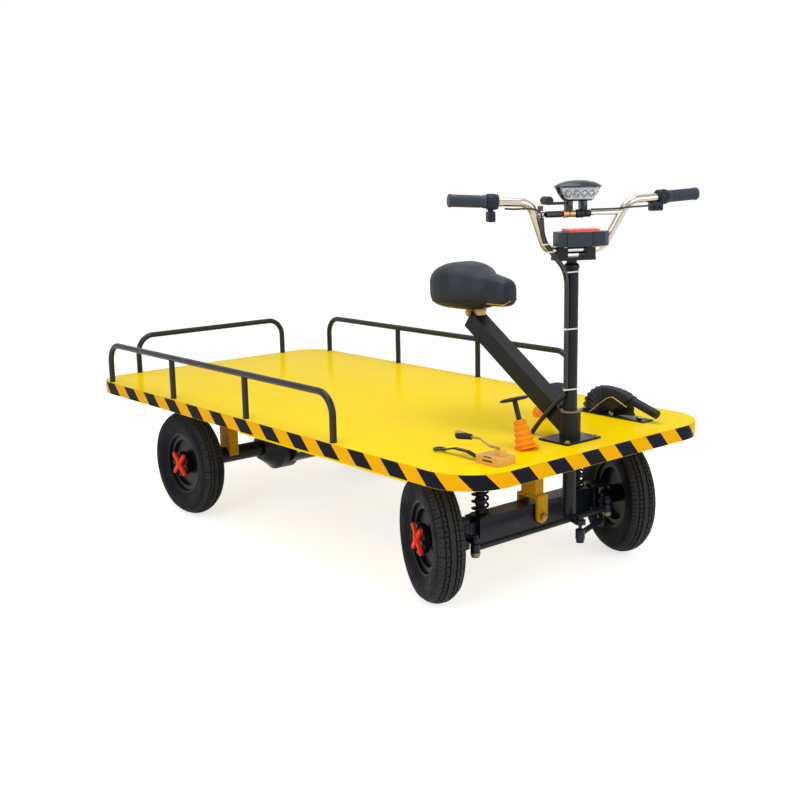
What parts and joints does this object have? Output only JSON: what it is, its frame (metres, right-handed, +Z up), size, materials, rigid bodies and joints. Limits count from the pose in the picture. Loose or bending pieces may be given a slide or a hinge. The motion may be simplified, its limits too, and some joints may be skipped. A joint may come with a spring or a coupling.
{
  "type": "electric platform cart",
  "caption": "Flat yellow platform cart on rubber tyres, with low guard rails, a saddle on an arm and a handlebar that steers the front wheels.",
  "frame": {"origin": "on the floor under the middle of the whole cart, handlebar included", "axes": "+X forward, +Y to the driver's left, +Z up"},
  "size_m": [2.0274, 1, 1.12],
  "materials": {
    "yellow_paint": "gloss",
    "black_paint": "satin",
    "black_plastic": "matte",
    "vinyl": "satin",
    "tyre": "matte",
    "rim_black": "gloss",
    "hub_red": "gloss",
    "chrome": "polished",
    "zinc": "passivated",
    "lens": "clear",
    "red_plastic": "gloss",
    "grip_rubber": "matte",
    "orange_rubber": "matte",
    "cable_black": "satin"
  },
  "bodies": {
    "chassis": {"deck": "yellow_paint", "edge_bars": "yellow_paint", "frame": "yellow_paint", "guard_rail_right": "black_paint", "guard_rail_left": "black_paint", "guard_rail_rear": "black_paint", "battery_box": "black_paint", "front_beam": "black_paint", "pivot_bracket": "yellow_paint", "pivot_bolt": "zinc", "springs": "black_paint", "spring_bellows": "black_plastic", "rear_axle": "black_paint", "brake_plates": "black_paint", "axle_brackets": "yellow_paint", "column_base": "black_paint", "seat_arm": "black_paint", "seat_clamp": "zinc", "saddle": "vinyl", "pedals": "black_paint", "pedal_boots": "orange_rubber", "shift_box": "zinc", "shift_lever": "zinc", "park_lever": "black_paint", "hand_brake_base": "black_paint", "hand_brake_gaiter": "black_plastic", "hand_brake_lever": "black_plastic", "cable_tail": "cable_black"},
    "steering": {"steering_column": "black_paint", "pitman_arm": "black_paint", "handlebar": "chrome", "bar_yoke": "black_paint", "grips": "grip_rubber", "throttle_housing": "black_plastic", "switch_cluster": "black_plastic", "headlamp": "black_plastic", "control_cables": "cable_black", "headlamp_lens": "lens", "key_lock": "black_plastic", "instrument_pod": "black_plastic", "pod_panel": "red_plastic", "cable_bundle": "cable_black"},
    "knuckle_right": {"knuckle_right": "black_paint"},
    "knuckle_left": {"knuckle_left": "black_paint"},
    "tie_rod": {"tie_rod": "black_paint"},
    "drag_link": {"drag_link": "black_paint"},
    "wheel_front_right": {"front_right_tyre": "tyre", "front_right_rim": "rim_black", "front_right_hub": "hub_red"},
    "wheel_front_left": {"front_left_tyre": "tyre", "front_left_rim": "rim_black", "front_left_hub": "hub_red"},
    "wheel_rear_right": {"rear_right_tyre": "tyre", "rear_right_rim": "rim_black", "rear_right_hub": "hub_red"},
    "wheel_rear_left": {"rear_left_tyre": "tyre", "rear_left_rim": "rim_black", "rear_left_hub": "hub_red"}
  },
  "joints": [
    {"name": "steer", "type": "hinge", "parent": "chassis", "child": "steering", "pos_m": [0.83926, 0, 0.45], "axis": [0, 0, 1], "range_deg": [-12.5, 57.5]},
    {"name": "kingpin_right", "type": "hinge", "parent": "chassis", "child": "knuckle_right", "pos_m": [0.69126, -0.268, 0.178], "axis": [0, 0, 1], "range_deg": [-12.5, 57.5]},
    {"name": "kingpin_left", "type": "hinge", "parent": "chassis", "child": "knuckle_left", "pos_m": [0.69126, 0.268, 0.178], "axis": [0, 0, 1], "range_deg": [-12.5, 57.5]},
    {"name": "tie_rod_ball", "type": "hinge", "parent": "knuckle_right", "child": "tie_rod", "pos_m": [0.78365, -0.30627, 0.167], "axis": [0, 0, 1], "range_deg": [-57.5, 12.5]},
    {"name": "drag_link_ball", "type": "hinge", "parent": "steering", "child": "drag_link", "pos_m": [0.90393, -0.02679, 0.173], "axis": [0, 0, 1], "range_deg": [-57.5, 12.5]},
    {"name": "spin_front_right", "type": "hinge", "parent": "knuckle_right", "child": "wheel_front_right", "pos_m": [0.65759, -0.3493, 0.178], "axis": [0.3827, 0.9239, 0], "continuous": true},
    {"name": "spin_front_left", "type": "hinge", "parent": "knuckle_left", "child": "wheel_front_left", "pos_m": [0.72494, 0.3493, 0.178], "axis": [0.3827, 0.9239, 0], "continuous": true},
    {"name": "spin_rear_right", "type": "hinge", "parent": "chassis", "child": "wheel_rear_right", "pos_m": [-0.53074, -0.4005, 0.178], "axis": [0, 1, 0], "continuous": true},
    {"name": "spin_rear_left", "type": "hinge", "parent": "chassis", "child": "wheel_rear_left", "pos_m": [-0.53074, 0.4005, 0.178], "axis": [0, 1, 0], "continuous": true}
  ],
  "couplings": [
    {"joint": "kingpin_right", "follows": "steer", "ratio": 1},
    {"joint": "kingpin_left", "follows": "steer", "ratio": 1},
    {"joint": "tie_rod_ball", "follows": "steer", "ratio": -1},
    {"joint": "drag_link_ball", "follows": "steer", "ratio": -1}
  ]
}
